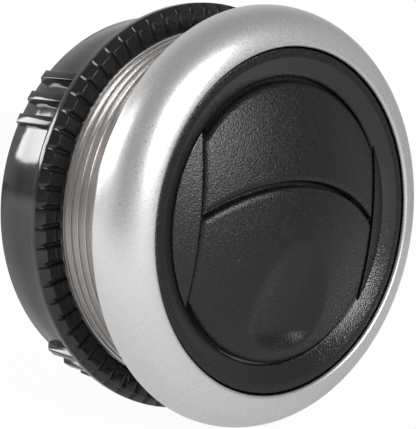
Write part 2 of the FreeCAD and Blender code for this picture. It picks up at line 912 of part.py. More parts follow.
def make_link_bar():
    """The flat bar between the two crank ears; the upper hole has the open pivot's play."""
    body = new_body("link_bar")
    low = lower_rise - sized("crank_drop")
    high = upper_rise - sized("crank_drop")
    half = sized("crank_hub_radius")
    start = sized("link_offset") - link_half
    bar = new_sketch(body, "Bar", "YZ_Plane", shift=start)
    outline(
        bar,
        crank_y + half, low,
        line_to(crank_y + half, high),
        arc_to(crank_y, high + half, half, 1),
        arc_to(crank_y - half, high, half, 1),
        line_to(crank_y - half, low),
        arc_to(crank_y, low - half, half, 1),
        arc_to(crank_y + half, low, half, 1),
    )
    extruded(body, "Pad", "BarPlate", bar, sized("link_thickness"))
    before = body.Shape.Volume
    holes = new_sketch(body, "Holes", "YZ_Plane", shift=start)
    pin = sized("link_pin_radius")
    ring_hole(holes, crank_y, low, pin + sized("link_hole_play"))
    ring_hole(holes, crank_y, high, pin + sized("link_open_play"))
    extruded(body, "Pocket", "HoleBores", holes, sized("link_thickness"), backwards=True)
    removed(body, before)
    return body


def make_link_pin(label, rise):
    """A headed pin, driven into the crank ear, that the link bar swings on."""
    crank_z = rise - sized("crank_drop")
    head_face = sized("link_offset") - link_half - sized("link_hole_play")
    length = crank_outer_face - head_face
    body = make_rod(label, crank_y, crank_z, sized("link_pin_radius"), head_face, length)
    head = new_sketch(body, "HeadCircle", "YZ_Plane", shift=head_face - sized("link_pin_head"))
    ring_hole(head, crank_y, crank_z, sized("link_pin_head_radius"))
    extruded(body, "Pad", "Head", head, sized("link_pin_head"))
    return body


bodies = [
    make_bezel(),
    make_lock_nut(),
    make_rotor(),
    make_friction_ring(),
    make_retainer(),
    make_upper_flap(),
    make_lower_flap(),
    make_link_bar(),
    make_link_pin("link_pin_upper", upper_rise),
    make_link_pin("link_pin_lower", lower_rise),
]
for flap, rise in (("upper", upper_rise), ("lower", lower_rise)):
    for side, hand in ((-1, "left"), (1, "right")):
        bodies.append(make_pivot_pin(f"{flap}_pin_{hand}", side, rise))
        bodies.append(make_bush(f"{flap}_bush_{hand}", side, rise))

doc.recompute()
for item in doc.Objects:
    if "Invalid" in item.State or "Error" in item.State:
        raise RuntimeError(f"{item.Label}: {item.State}")
os.makedirs("parts", exist_ok=True)
for body in bodies:
    shape = body.Shape
    if shape.isNull() or not shape.isValid() or len(shape.Solids) != 1:
        raise RuntimeError(f"{body.Label}: no single valid solid")
for body in bodies:
    body.Shape.exportStep(os.path.join("parts", f"{body.Label}.step"))
    print(body.Label, round(body.Shape.Volume, 2))
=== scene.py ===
"""Dresses the round air vent: finishes, fine forms, studio and camera.

The pieces' sizes are in millimetres. The finishes' grains and the studio's sizes are in metres.
"""

import json
import logging
import math
from collections.abc import Callable, Iterable
from dataclasses import dataclass
from enum import Enum

import bpy
from mathutils import Matrix, Vector


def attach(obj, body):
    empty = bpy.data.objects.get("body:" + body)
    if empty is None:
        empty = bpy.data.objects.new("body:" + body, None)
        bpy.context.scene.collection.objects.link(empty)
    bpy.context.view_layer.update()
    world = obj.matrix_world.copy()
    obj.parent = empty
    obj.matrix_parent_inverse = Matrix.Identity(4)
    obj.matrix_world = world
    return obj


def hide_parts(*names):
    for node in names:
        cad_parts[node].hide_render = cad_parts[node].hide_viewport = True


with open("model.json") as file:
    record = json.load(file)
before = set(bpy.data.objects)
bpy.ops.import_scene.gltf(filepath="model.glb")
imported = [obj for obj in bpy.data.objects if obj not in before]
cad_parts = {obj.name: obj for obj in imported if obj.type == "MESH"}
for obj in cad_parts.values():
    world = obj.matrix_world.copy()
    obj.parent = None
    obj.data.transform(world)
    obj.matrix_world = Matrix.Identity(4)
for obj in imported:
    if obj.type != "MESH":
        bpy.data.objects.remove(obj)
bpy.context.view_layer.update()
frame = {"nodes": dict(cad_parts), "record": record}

LOG = logging.getLogger("vent")
MM = 0.001
AXIS = (0.0, 1.0, 0.0)
WELD = 2e-6
SMOOTH_BELOW = 50.0
ROUND_ABOVE = 30.0
ROUND_ABOVE_ON_PLATE = 50.0
MIDDLE_RANGE = (0.3, 0.7)

Point = tuple[float, float]
Limits = tuple[float, float]
Bump = tuple[float, float]
Size = tuple[float, float]
Grid = tuple[int, int]
Triple = tuple[float, float, float]
Tree = bpy.types.NodeTree
Node = bpy.types.Node
Socket = bpy.types.NodeSocket
Piece = bpy.types.Object


class Body(Enum):
    """The moving bodies that a made piece rides on."""

    HOUSING = "housing"
    NUT = "lock_nut"
    ROTOR = "rotor"
    UPPER = "upper_flap"
    LOWER = "lower_flap"


def coordinates(tree: Tree) -> Socket:
    """Object coordinates, in metres, for a solid pattern."""
    return tree.nodes.new("ShaderNodeTexCoord").outputs["Object"]


def noise(tree: Tree, size: float, detail: float = 2.0) -> Socket:
    """A solid noise pattern.

    Args:
        tree: The material's node tree.
        size: The pattern's grain in metres.
        detail: Octaves.

    Returns:
        The noise value's socket, about 0 to 1.
    """
    node = tree.nodes.new("ShaderNodeTexNoise")
    node.inputs["Scale"].default_value = 1.0 / size
    node.inputs["Detail"].default_value = detail
    tree.links.new(coordinates(tree), node.inputs["Vector"])
    return node.outputs["Fac"]


def cells(tree: Tree, size: float, smoothness: float = 0.6) -> Socket:
    """Smooth round cells, low at their centres.

    Args:
        tree: The material's node tree.
        size: A cell's size in metres.
        smoothness: How softly neighbours run into each other.

    Returns:
        The distance value's socket.
    """
    node = tree.nodes.new("ShaderNodeTexVoronoi")
    node.feature = "SMOOTH_F1"
    node.inputs["Scale"].default_value = 1.0 / size
    node.inputs["Smoothness"].default_value = smoothness
    tree.links.new(coordinates(tree), node.inputs["Vector"])
    return node.outputs["Distance"]


def span(tree: Tree, value: Socket, low: float, high: float,
         source: Limits = MIDDLE_RANGE) -> Socket:
    """Map a value's range to new limits, clamped.

    Args:
        tree: The node tree.
        value: The socket to map.
        low: Result at the start of the source range.
        high: Result at its end.
        source: The range of the value that is used.

    Returns:
        The mapped value's socket.
    """
    node = tree.nodes.new("ShaderNodeMapRange")
    node.inputs["From Min"].default_value = source[0]
    node.inputs["From Max"].default_value = source[1]
    node.inputs["To Min"].default_value = low
    node.inputs["To Max"].default_value = high
    tree.links.new(value, node.inputs["Value"])
    return node.outputs["Result"]


def calculated(tree: Tree, operation: str, *values: Socket | float) -> Socket:
    """Put values through a math node.

    Args:
        tree: The node tree.
        operation: What the node does.
        values: Its inputs in order, each a socket or a number.

    Returns:
        The result's socket.
    """
    node = tree.nodes.new("ShaderNodeMath")
    node.operation = operation
    for slot, value in zip(node.inputs, values):
        if isinstance(value, bpy.types.NodeSocket):
            tree.links.new(value, slot)
        else:
            slot.default_value = value
    return node.outputs[0]


def compared(tree: Tree, operation: str, vector: Socket, other: Iterable[float]) -> Socket:
    """Compare a vector with a fixed one, by dot product or distance.

    Args:
        tree: The node tree.
        operation: DOT_PRODUCT or DISTANCE.
        vector: The vector's socket.
        other: The fixed vector.

    Returns:
        The result's socket.
    """
    node = tree.nodes.new("ShaderNodeVectorMath")
    node.operation = operation
    tree.links.new(vector, node.inputs[0])
    node.inputs[1].default_value = other
    return node.outputs["Value"]


def shown(tree: Tree, output: str, factor: Socket, first: Socket, second: Socket) -> None:
    """Send a mix of two shaders to the tree's output.

    Args:
        tree: The node tree.
        output: The output node's name.
        factor: 0 for the first shader, 1 for the second.
        first: The first shader's socket.
        second: The second shader's socket.
    """
    mix = tree.nodes.new("ShaderNodeMixShader")
    tree.links.new(factor, mix.inputs["Fac"])
    tree.links.new(first, mix.inputs[1])
    tree.links.new(second, mix.inputs[2])
    tree.links.new(mix.outputs[0], tree.nodes[output].inputs["Surface"])


def tinted(tree: Tree, shader: Node, pattern: Socket, dark: Triple, light: Triple) -> None:
    """Run the base colour from dark to light over a pattern's middle range.

    Args:
        tree: The material's node tree.
        shader: The principled shader.
        pattern: The pattern's socket.
        dark: The colour where the pattern is low.
        light: The colour where it is high.
    """
    node = tree.nodes.new("ShaderNodeMix")
    node.data_type = "RGBA"
    tree.links.new(span(tree, pattern, 0.0, 1.0), node.inputs["Factor"])
    node.inputs[6].default_value = (*dark, 1.0)
    node.inputs[7].default_value = (*light, 1.0)
    tree.links.new(node.outputs[2], shader.inputs["Base Color"])


def glossed(tree: Tree, shader: Node, pattern: Socket, roughness: Limits) -> None:
    """Vary the roughness between its limits over a pattern's middle range."""
    tree.links.new(span(tree, pattern, *roughness), shader.inputs["Roughness"])


def bumped(tree: Tree, shader: Node, layers: Iterable[tuple[Socket, float, float]]) -> None:
    """Chain bump layers into the shader's normal.

    Args:
        tree: The material's node tree.
        shader: The principled shader.
        layers: Height socket, strength and depth in metres of each layer.
    """
    before = None
    for height, strength, depth in layers:
        bump = tree.nodes.new("ShaderNodeBump")
        bump.inputs["Strength"].default_value = strength
        bump.inputs["Distance"].default_value = depth
        tree.links.new(height, bump.inputs["Height"])
        if before is not None:
            tree.links.new(before, bump.inputs["Normal"])
        before = bump.outputs["Normal"]
    tree.links.new(before, shader.inputs["Normal"])


class Finish:
    """Base of the finishes: builds its node tree once and hands out the material."""

    name: str = "finish"

    def material(self) -> bpy.types.Material:
        """Make or find this finish's material.

        Returns:
            The node-based material.
        """
        made = bpy.data.materials.get(self.name)
        if made is None:
            made = bpy.data.materials.new(self.name)
            made.use_nodes = True
            self.build(made.node_tree, made.node_tree.nodes["Principled BSDF"])
        return made

    def build(self, tree: Tree, shader: Node) -> None:
        """Fill in the node tree; each finish has its own."""
        raise NotImplementedError


@dataclass(frozen=True)
class SilverLacquer(Finish):
    """Satin silver lacquer with fine metal flake, over moulded plastic."""

    name: str = "silver_lacquer"
    dark: Triple = (0.575, 0.575, 0.581)
    light: Triple = (0.63, 0.63, 0.636)
    metallic: float = 0.75
    flake: float = 0.00026
    gloss_share: float = 1.2
    roughness: Limits = (0.26, 0.40)
    relief: float = 0.03
    depth: float = 0.00002

    def build(self, tree: Tree, shader: Node) -> None:
        """Flake in colour, roughness and a light bump.

        Args:
            tree: The material's node tree.
            shader: Its principled shader.
        """
        flake = noise(tree, self.flake, detail=1.0)
        gloss = noise(tree, self.flake * self.gloss_share, detail=1.0)
        tinted(tree, shader, flake, self.dark, self.light)
        glossed(tree, shader, gloss, self.roughness)
        shader.inputs["Metallic"].default_value = self.metallic
        bumped(tree, shader, [(flake, self.relief, self.depth), (gloss, self.relief, self.depth)])


@dataclass(frozen=True)
class GrainedPlastic(Finish):
    """Black moulding with a fine spark-eroded grain."""

    name: str = "grained_black_plastic"
    dark: Triple = (0.003, 0.003, 0.0032)
    light: Triple = (0.008, 0.008, 0.0083)
    grain: float = 0.00034
    pit_share: float = 0.7
    gloss_share: float = 1.2
    roughness: Limits = (0.12, 0.42)
    shine: float = 0.42
    relief: float = 0.00014
    relief_to_pits: float = 3.0
    pebble_strength: float = 0.8
    pit_strength: float = 0.4

    def build(self, tree: Tree, shader: Node) -> None:
        """Pebbles and pits in bump, with slight colour and gloss variation.

        Args:
            tree: The material's node tree.
            shader: Its principled shader.
        """
        pebbles = noise(tree, self.grain, detail=1.0)
        pits = cells(tree, self.grain * self.pit_share)
        tinted(tree, shader, pits, self.dark, self.light)
        glossed(tree, shader, noise(tree, self.grain * self.gloss_share), self.roughness)
        shader.inputs["Specular IOR Level"].default_value = self.shine
        bumped(tree, shader, [
            (pebbles, self.pebble_strength, self.relief),
            (pits, self.pit_strength, self.relief / self.relief_to_pits),
        ])


@dataclass(frozen=True)
class GlossPlastic(Finish):
    """Glossy black moulding with the faint waviness of a polished tool."""

    name: str = "gloss_black_plastic"
    dark: Triple = (0.008, 0.009, 0.010)
    light: Triple = (0.014, 0.015, 0.017)
    wave: float = 0.006
    wave_bump: Bump = (0.10, 0.0003)
    mark: float = 0.0006
    mark_bump: Bump = (0.05, 0.00003)
    roughness: Limits = (0.08, 0.14)
    shine: float = 0.45

    def build(self, tree: Tree, shader: Node) -> None:
        """Low roughness with slow waves and light handling marks.

        Args:
            tree: The material's node tree.
            shader: Its principled shader.
        """
        waves = noise(tree, self.wave)
        marks = noise(tree, self.mark, detail=3.0)
        tinted(tree, shader, waves, self.dark, self.light)
        glossed(tree, shader, marks, self.roughness)
        shader.inputs["Specular IOR Level"].default_value = self.shine
        bumped(tree, shader, [(waves, *self.wave_bump), (marks, *self.mark_bump)])


@dataclass(frozen=True)
class SmallMetal(Finish):
    """Drawn or rolled steel for pins and the spring ring."""

    name: str = "drawn_steel"
    tone: float = 0.55
    dark_share: float = 0.8
    mark: float = 0.0003
    mark_bump: Bump = (0.1, 0.00002)
    roughness: Limits = (0.25, 0.4)

    def build(self, tree: Tree, shader: Node) -> None:
        """Fine drawn scratches.

        Args:
            tree: The material's node tree.
            shader: Its principled shader.
        """
        marks = noise(tree, self.mark)
        tinted(tree, shader, marks, (self.tone * self.dark_share,) * 3, (self.tone,) * 3)
        glossed(tree, shader, marks, self.roughness)
        shader.inputs["Metallic"].default_value = 1.0
        bumped(tree, shader, [(marks, *self.mark_bump)])


@dataclass(frozen=True)
class SoftStuff(Finish):
    """Dense felt or natural resin, by its two tones."""

    name: str = "felt"
    dark: Triple = (0.03, 0.03, 0.03)
    light: Triple = (0.07, 0.07, 0.07)
    roughness: float = 0.85
    fibre: float = 0.0003
    fibre_bump: Bump = (0.3, 0.00005)

    def build(self, tree: Tree, shader: Node) -> None:
        """Mottled colour with a soft bump.

        Args:
            tree: The material's node tree.
            shader: Its principled shader.
        """
        fibres = noise(tree, self.fibre, detail=3.0)
        tinted(tree, shader, fibres, self.dark, self.light)
        shader.inputs["Roughness"].default_value = self.roughness
        bumped(tree, shader, [(fibres, *self.fibre_bump)])


SILVER = SilverLacquer()
# The neck's copy of the silver lacquer is smoother. Its darker, warmer tone is painted shade for
# the recess between the ring and the nut.
NECK_SILVER_WITH_PAINTED_SHADE = SilverLacquer(
    name="silver_lacquer_neck_painted_shade",
    dark=(0.52, 0.503, 0.490),
    light=(0.59, 0.571, 0.558),
    flake=0.00030,
    roughness=(0.14, 0.22),
    relief=0.02,
)
GRAINED = GrainedPlastic()
WORN = GrainedPlastic(
    name="worn_black_plastic", roughness=(0.06, 0.20), shine=0.70, relief=0.00007
)
GLOSS = GlossPlastic()
STEEL = SmallMetal()
SPRING = SmallMetal(name="spring_steel", tone=0.3)
FELT = SoftStuff()
RESIN = SoftStuff(
    name="natural_resin", dark=(0.62, 0.60, 0.55), light=(0.72, 0.70, 0.65), roughness=0.45
)


def dress(obj: Piece, finish: Finish) -> None:
    """Give an object one finish all over."""
    obj.data.materials.clear()
    obj.data.materials.append(finish.material())


def dress_cad() -> None:
    """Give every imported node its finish."""
    finishes: dict[str, Finish] = {
        "silver_paint": SILVER,
        "gloss_black": GLOSS,
        "grained_black": GRAINED,
        "felt": FELT,
        "spring_steel": SPRING,
        "pin_steel": STEEL,
        "bush_resin": RESIN,
    }
    for part in frame["record"]["subparts"]:
        dress(frame["nodes"][part["node"]], finishes[part["material_slot"]])
        LOG.info("dressed node %s", part["node"])


def deselect() -> None:
    """Leave object mode clean, with nothing selected."""
    if bpy.context.object and bpy.context.object.mode != "OBJECT":
        bpy.ops.object.mode_set(mode="OBJECT")
    bpy.ops.object.select_all(action="DESELECT")


def activate(obj: Piece) -> None:
    """Select one object alone and make it active.

    Args:
        obj: The object.
    """
    deselect()
    obj.select_set(True)
    bpy.context.view_layer.objects.active = obj


def merge_doubles() -> None:
    """In edit mode: select everything and merge vertices that lie on each other."""
    bpy.ops.mesh.select_all(action="SELECT")
    bpy.ops.mesh.remove_doubles(threshold=WELD)


def weld() -> None:
    """In edit mode: merge doubles and turn every face outwards."""
    merge_doubles()
    bpy.ops.mesh.normals_make_consistent(inside=False)


def push_out(shift: Triple) -> None:
    """In edit mode: extrude the selected faces by a shift in metres, weld, and leave it.

    Args:
        shift: The way from the first face to the second.
    """
    bpy.ops.mesh.extrude_region_move(TRANSFORM_OT_translate={"value": shift})
    weld()
    bpy.ops.object.mode_set(mode="OBJECT")


def outlined(name: str, corners: list[Vector]) -> Piece:
    """Draw a closed run of edges by extruding one vertex from corner to corner.

    Args:
        name: The new object's name.
        corners: The corners, in metres.

    Returns:
        The new object, left in edit mode with everything selected.
    """
    deselect()
    bpy.ops.mesh.primitive_plane_add(size=MM, location=corners[0])
    obj = bpy.context.active_object
    obj.name = name
    bpy.ops.object.transform_apply()
    bpy.ops.object.mode_set(mode="EDIT")
    bpy.ops.mesh.select_all(action="SELECT")
    bpy.ops.mesh.merge(type="CENTER")
    for before, after in zip(corners, [*corners[1:], corners[0]]):
        bpy.ops.mesh.extrude_region_move(TRANSFORM_OT_translate={"value": after - before})
    merge_doubles()
    return obj


def section(corners: list[Point]) -> list[Vector]:
    """Corners of radius and depth, in millimetres, laid out beside the vent's axis."""
    return [Vector((r * MM, y * MM, 0.0)) for r, y in corners]


def turned(name: str, profile: list[Point], steps: int) -> Piece:
    """A closed profile of radius and depth, spun about the vent's axis.

    Args:
        name: The new object's name.
        profile: Corners as (radius, depth along the axis), in millimetres.
        steps: How many steps go round.

    Returns:
        The new closed mesh object.
    """
    obj = outlined(name, section(profile))
    bpy.ops.mesh.spin(steps=steps, angle=math.tau, center=(0, 0, 0), axis=AXIS)
    weld()
    bpy.ops.object.mode_set(mode="OBJECT")
    return obj


def slab(name: str, outline: list[Point], start: float, width: float) -> Piece:
    """A flat plate across X from an outline of depth and height.

    Args:
        name: The new object's name.
        outline: Corners as (depth, height), in millimetres.
        start: The plate's lower X face, in millimetres.
        width: Its thickness along X, in millimetres.

    Returns:
        The new closed plate.
    """
    obj = outlined(name, [Vector((start, y, z)) * MM for y, z in outline])
    bpy.ops.mesh.edge_face_add()
    push_out((width * MM, 0, 0))
    return obj


def skin(name: str, place: Callable[[float, float], Vector], grid: Grid,
         wall: float) -> Piece:
    """A curved plate: a grid laid over a face and extruded straight back.

    Args:
        name: The new object's name.
        place: Gives a point in millimetres for two shares, each -1 to 1.
        grid: Grid steps across and along.
        wall: The plate's thickness in millimetres.

    Returns:
        The new closed plate.
    """
    deselect()
    bpy.ops.mesh.primitive_grid_add(x_subdivisions=grid[0], y_subdivisions=grid[1], size=2)
    obj = bpy.context.active_object
    obj.name = name
    for vertex in obj.data.vertices:
        vertex.co = place(vertex.co.x, vertex.co.y) * MM
    bpy.ops.object.mode_set(mode="EDIT")
    merge_doubles()
    push_out((0, wall * MM, 0))
    return obj


def arc(centre: Point, radius: float, start: float, end: float, count: int) -> list[Point]:
    """Points along an arc, angles in degrees."""
    angles = (math.radians(start + (end - start) * k / count) for k in range(count + 1))
    return [(centre[0] + radius * math.cos(a), centre[1] + radius * math.sin(a)) for a in angles]


def softened(obj: Piece, width: float, angle: float = ROUND_ABOVE, segments: int = 2) -> None:
    """Round the sharp edges with an applied bevel, then shade smooth by angle.

    Args:
        obj: The piece.
        width: The bevel's width in millimetres.
        angle: Edges sharper than this, in degrees, are rounded.
        segments: Steps across each bevel.
    """
    activate(obj)
    bevel = obj.modifiers.new("round", "BEVEL")
    bevel.width = width * MM
    bevel.segments = segments
    bevel.limit_method = "ANGLE"
    bevel.angle_limit = math.radians(angle)
    bpy.ops.object.modifier_apply(modifier=bevel.name)
    bpy.ops.object.shade_smooth_by_angle(angle=math.radians(SMOOTH_BELOW))


def joined(name: str, parts: list[Piece]) -> Piece:
    """Join several parts of one moulding into the first.

    Args:
        name: The moulding's name.
        parts: Its parts.

    Returns:
        The first part, which now holds them all.
    """
    activate(parts[0])
    for part in parts[1:]:
        part.select_set(True)
    bpy.ops.object.join()
    parts[0].name = name
    return parts[0]


def settle(obj: Piece, body: Body, slot: str, *nodes: str) -> None:
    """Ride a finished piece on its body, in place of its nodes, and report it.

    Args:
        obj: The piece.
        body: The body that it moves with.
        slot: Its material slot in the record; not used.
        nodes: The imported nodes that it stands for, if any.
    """
    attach(obj, body.value)
    if nodes:
        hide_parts(*nodes)
    LOG.info("%s: %d faces", obj.name, len(obj.data.polygons))


@dataclass
class Dome:
    """The sphere that cheeks and flaps share."""

    radius: float = 82.0
    edge_radius: float = 31.1
    edge_depth: float = -13.15

    @property
    def centre(self) -> float:
        """The sphere centre's place on the axis."""
        return self.edge_depth + math.sqrt(self.radius ** 2 - self.edge_radius ** 2)

    def depth(self, x: float, z: float, below: float = 0.0) -> float:
        """The dome's front at a place across the face, or a sphere this far below it."""
        return self.centre - math.sqrt((self.radius - below) ** 2 - x * x - z * z)


DOME = Dome()


@dataclass
class Bezel:
    """The fat silver ring, its neck and the neck's thread."""

    rim_radius: float = 37.0
    rim_depth: float = -6.0
    section_radius: float = 9.0
    section_steps: int = 60
    mouth: float = 37.4
    bead: float = 0.7
    bead_steps: int = 5
    back: float = -5.4
    core: float = 42.2
    core_floor: float = -9.0
    neck: float = 40.2
    root: float = 39.4
    bore: float = 38.0
    pocket: float = 37.3
    race: float = 35.9
    race_front: float = -11.0
    race_rear: float = -9.4
    length: float = 30.0
    chamfer: float = 0.8
    edge: float = 0.15
    black_lip: float = 2.0
    slack: float = 0.2
    pitch: float = 2.5
    thread_start: float = -4.1
    thread_turns: int = 13
    thread_edge: float = 0.05
    thread_edge_angle: float = 25.0
    steps_a_turn: int = 120
    foot_below: float = 0.3
    crest_half: float = 0.10
    foot_half: float = 0.28
    steps: int = 240

    def build(self) -> None:
        """Make the ring with its neck, then the thread."""
        self.make_ring()
        self.make_thread()

    def profile(self) -> list[Point]:
        """The ring's closed section.

        Returns:
            Corners from the mouth round the front to the bore, as (radius, depth).
        """
        shoulder = self.mouth + self.bead
        drop = math.sqrt(self.section_radius ** 2 - (shoulder - self.rim_radius) ** 2)
        top = self.rim_depth - drop
        first = math.degrees(math.atan2(-drop, shoulder - self.rim_radius))
        last = math.degrees(math.asin((self.back - self.rim_depth) / self.section_radius))
        centre = (self.rim_radius, self.rim_depth)
        return [
            *arc((shoulder, top + self.bead), self.bead, 180, 270, self.bead_steps)[:-1],
            *arc(centre, self.section_radius, first, last, self.section_steps),
            (self.core, self.back),
            (self.core, self.core_floor),
            (self.neck, self.core_floor),
            (self.neck, self.back - self.chamfer),
            (self.root, self.back),
            (self.root, self.length - self.chamfer),
            (self.root - self.chamfer / 2, self.length),
            (self.bore, self.length),
            (self.bore, 0.0),
            (self.pocket, 0.0),
            (self.pocket, self.race_rear),
            (self.race, self.race_rear),
            (self.race, self.race_front),
            (self.mouth, self.race_front),
        ]

    def make_ring(self) -> None:
        """Spin the section, then finish its face, neck and bore."""
        ring = turned("bezel_ring", self.profile(), self.steps)
        softened(ring, self.edge)
        dress(ring, SILVER)
        ring.data.materials.append(GRAINED.material())
        # The neck's lacquer carries painted shade: a darker, warmer tone than the face.
        ring.data.materials.append(NECK_SILVER_WITH_PAINTED_SHADE.material())
        for face in ring.data.polygons:
            face.material_index = self.finish_number(face)
        settle(ring, Body.HOUSING, "silver_paint", "bezel")

    def finish_number(self, face: bpy.types.MeshPolygon) -> int:
        """Choose a face's finish by its place.

        Args:
            face: The ring's face.

        Returns:
            0 for the silver face, 1 for the black bore, 2 for the neck.
        """
        across = math.hypot(face.center.x, face.center.z) / MM
        depth = face.center.y / MM
        inward = face.normal.x * face.center.x + face.normal.z * face.center.z < 0
        if inward and across < self.bore + self.slack and depth > self.race_front - self.black_lip:
            return 1
        if across < self.core + self.slack and depth > self.core_floor - self.slack:
            return 2
        return 0

    def make_thread(self) -> None:
        """One ridge, wound along the neck, with its two ends closed."""
        start = self.thread_start
        foot = self.root - self.foot_below
        ridge = outlined("bezel_thread", section([
            (foot, start - self.foot_half),
            (self.neck, start - self.crest_half),
            (self.neck, start + self.crest_half),
            (foot, start + self.foot_half),
        ]))
        bpy.ops.object.mode_set(mode="OBJECT")
        wind = ridge.modifiers.new("wind", "SCREW")
        wind.axis = "Y"
        wind.angle = math.tau
        wind.screw_offset = self.pitch * MM
        wind.iterations = self.thread_turns
        wind.steps = wind.render_steps = self.steps_a_turn
        bpy.ops.object.modifier_apply(modifier=wind.name)
        bpy.ops.object.mode_set(mode="EDIT")
        weld()
        bpy.ops.mesh.select_all(action="DESELECT")
        bpy.ops.mesh.select_non_manifold()
        bpy.ops.mesh.edge_face_add()
        weld()
        bpy.ops.object.mode_set(mode="OBJECT")
        softened(ridge, self.thread_edge, self.thread_edge_angle)
        # The thread shares the neck's lacquer, with its painted shade.
        dress(ridge, NECK_SILVER_WITH_PAINTED_SHADE)
        settle(ridge, Body.HOUSING, "silver_paint")


@dataclass
class LockNut:
    """The ring nut with its serrated face, shoulder, skirt and grip ribs."""

    front: float = 12.0
    bore: float = 40.3
    bevel: float = 0.6
    tooth_outer: float = 44.6
    flange: float = 46.2
    tooth_fall: float = 1.6
    flange_back: float = 15.2
    shoulder: float = 45.0
    shoulder_back: float = 18.8
    skirt: float = 42.7
    rear: float = 31.5
    edge: float = 0.06
    edge_angle: float = 32.0
    teeth: int = 69
    tooth_depth: float = 0.9
    tooth_angle: float = 173.1
    steps_a_tooth: int = 8
    tip_steps: int = 5
    rib_width: float = 2.2
    rib_proud: float = 1.6
    rib_spacing: float = 7.4
    rib_bevel: float = 1.4
    rib_edge: float = 0.2
    group_angle: float = 60.2
    groups: int = 4

    def build(self) -> None:
        """Spin the nut, cut its teeth, add its ribs."""
        nut = turned("nut_ring", self.profile(), self.teeth * self.steps_a_tooth)
        self.turn_to_tooth(nut)
        self.cut_teeth(nut)
        softened(nut, self.edge, self.edge_angle)
        nut = joined("lock_nut_moulding", [nut, *self.ribs()])
        dress(nut, GLOSS)
        settle(nut, Body.NUT, "gloss_black", "lock_nut")

    def profile(self) -> list[Point]:
        """The nut's closed section.

        Returns:
            Corners from the bore over the face and skirt, as (radius, depth).
        """
        return [
            (self.bore, self.front + self.bevel),
            (self.bore + self.bevel, self.front),
            (self.tooth_outer, self.front),
            (self.flange, self.front + self.tooth_fall),
            (self.flange, self.flange_back),
            (self.shoulder, self.flange_back),
            (self.skirt, self.shoulder_back),
            (self.skirt, (self.shoulder_back + self.rear) / 2),
            (self.skirt, self.rear),
            (self.bore + self.bevel, self.rear),
            (self.bore, self.rear - self.bevel),
        ]

    def turn_to_tooth(self, nut: Piece) -> None:
        """Turn the mesh so that a tooth's middle comes to its angle.

        Args:
            nut: The spun ring, before its teeth are cut.
        """
        step = 360.0 / (self.teeth * self.steps_a_tooth)
        middle = self.tip_steps * step / 2
        nut.data.transform(Matrix.Rotation(math.radians(middle - self.tooth_angle), 4, "Y"))

    def cut_teeth(self, nut: Piece) -> None:
        """Push the vertices between the teeth back to the root.

        Args:
            nut: The spun ring, turned to its tooth angle.
        """
        step = math.tau / (self.teeth * self.steps_a_tooth)
        start = math.radians(self.tooth_angle) - step * self.tip_steps / 2
        root = (self.front + self.tooth_depth) * MM
        for vertex in nut.data.vertices:
            if vertex.co.y > root:
                continue
            turn = math.atan2(vertex.co.z, vertex.co.x) - start
            place = round(turn / step) % self.steps_a_tooth
            if place > self.tip_steps:
                vertex.co.y = root

    def ribs(self) -> list[Piece]:
        """Three ribs in each group, copied from one.

        Returns:
            The copies, each with its own mesh.
        """
        outline = [
            (self.skirt - self.bevel, self.flange_back),
            (self.skirt + self.rib_proud, self.flange_back),
            (self.skirt + self.rib_proud, self.rear - self.rib_bevel),
            (self.skirt + self.rib_proud - self.rib_bevel, self.rear),
            (self.skirt - self.bevel, self.rear),
        ]
        half = self.rib_width / 2
        first = outlined("grip_rib", [Vector((r, y, -half)) * MM for r, y in outline])
        bpy.ops.mesh.edge_face_add()
        push_out((0, 0, self.rib_width * MM))
        softened(first, self.rib_edge)
        made = []
        for group in range(self.groups):
            for number in (-1, 0, 1):
                angle = self.group_angle + 360 / self.groups * group + self.rib_spacing * number
                rib = first.copy()
                rib.data = first.data.copy()
                bpy.context.scene.collection.objects.link(rib)
                rib.data.transform(Matrix.Rotation(math.radians(-angle), 4, "Y"))
                made.append(rib)
        bpy.data.objects.remove(first)
        return made


